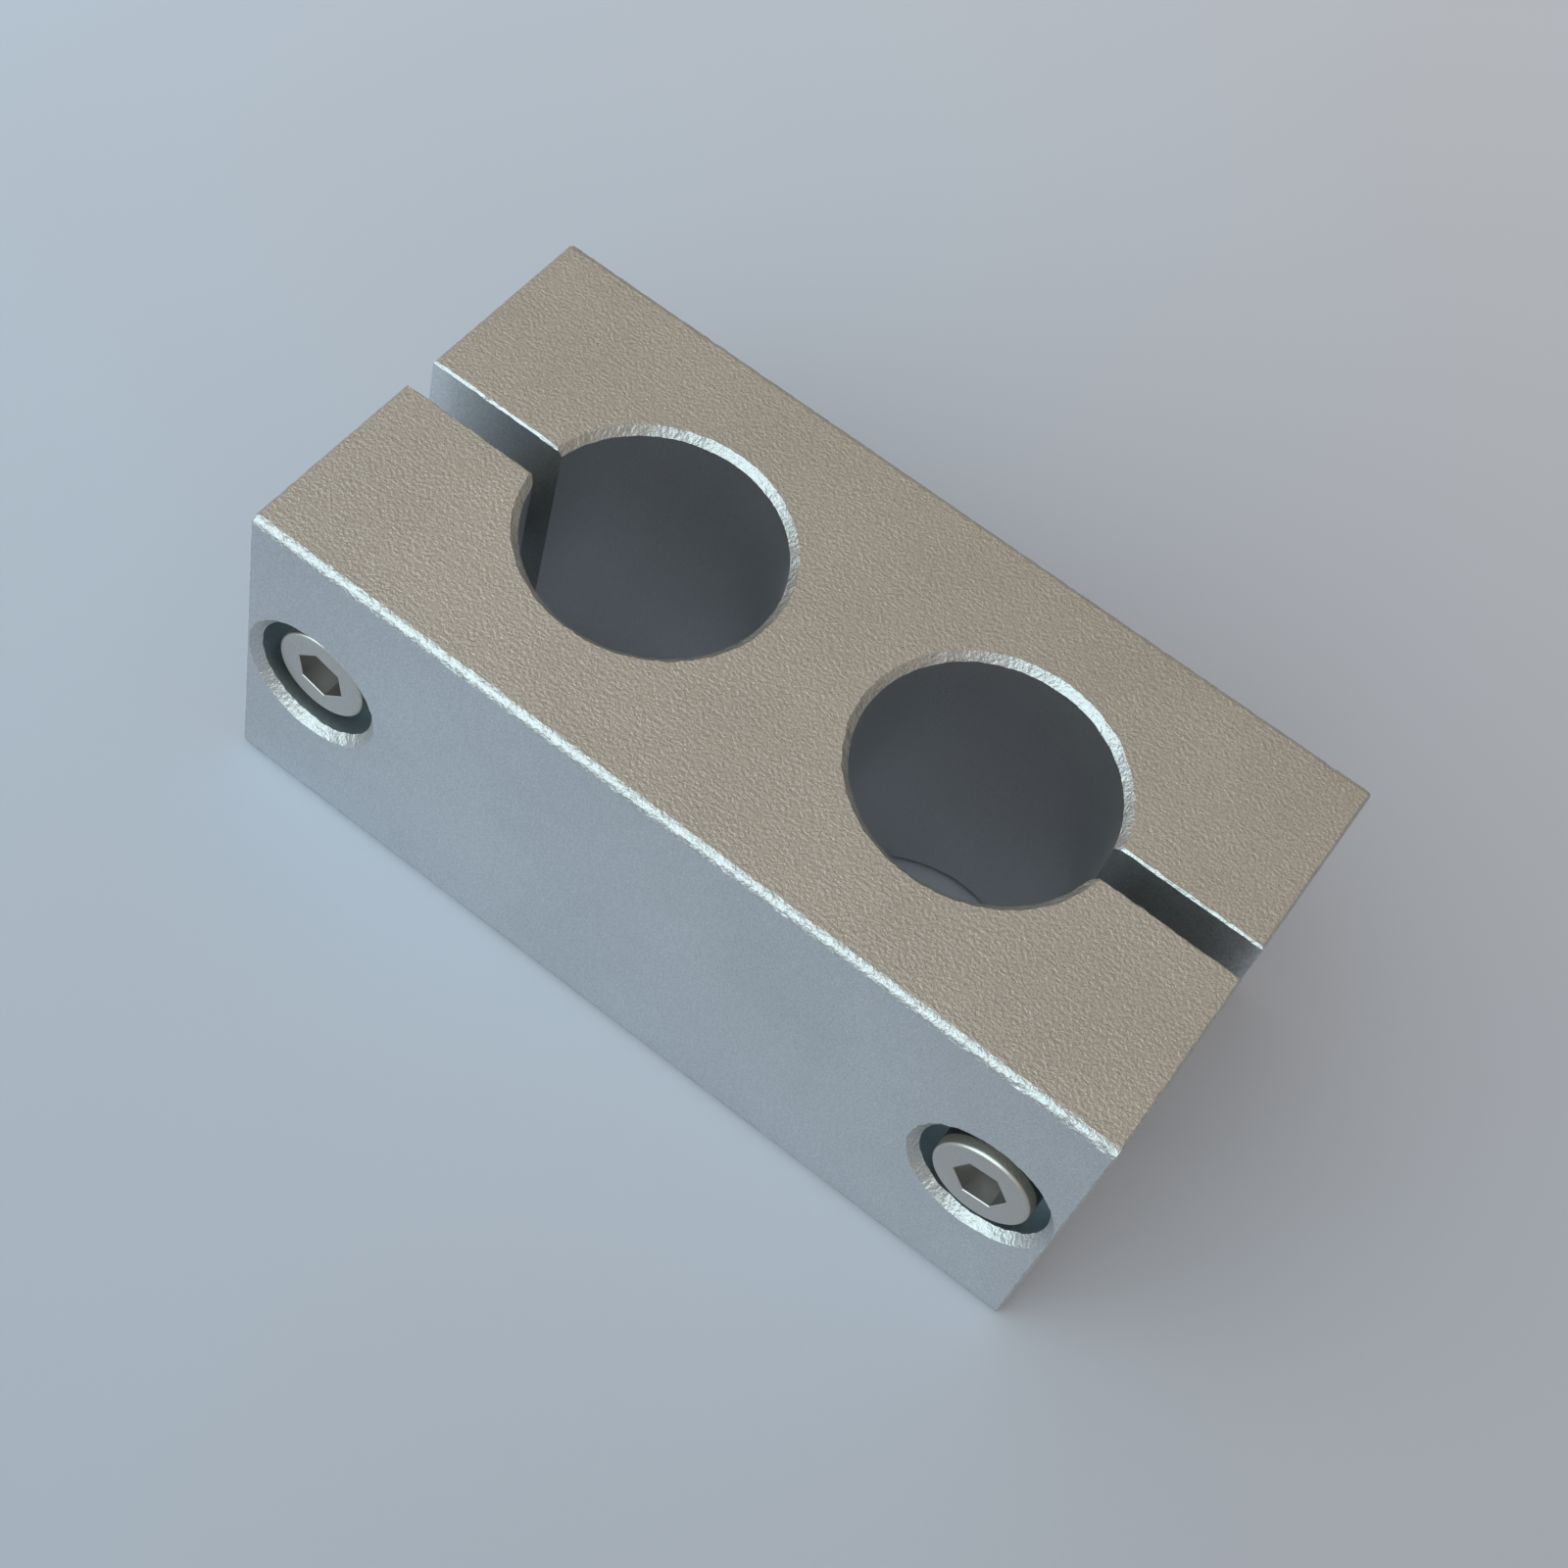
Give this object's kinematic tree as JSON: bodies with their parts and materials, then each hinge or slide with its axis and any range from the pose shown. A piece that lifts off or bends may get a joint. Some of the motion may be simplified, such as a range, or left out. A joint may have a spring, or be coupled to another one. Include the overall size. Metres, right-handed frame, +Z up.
{
  "type": "connector block",
  "caption": "Aluminium block with parallel split bores that clamps rods side by side, each bore closed by its own socket head cap screw across a saw slit.",
  "frame": {"origin": "middle of the block's bottom face", "axes": "+X along the row of bores, +Y from the screw heads to the back face, +Z up along the bores"},
  "size_m": [0.025, 0.0126, 0.0102],
  "materials": {
    "blasted_aluminium": "bead blasted and clear anodised",
    "stainless_steel": "bright, turned and broached"
  },
  "bodies": {
    "root": {"clamp_block": "blasted_aluminium", "clamp_screws": "stainless_steel"}
  },
  "joints": []
}
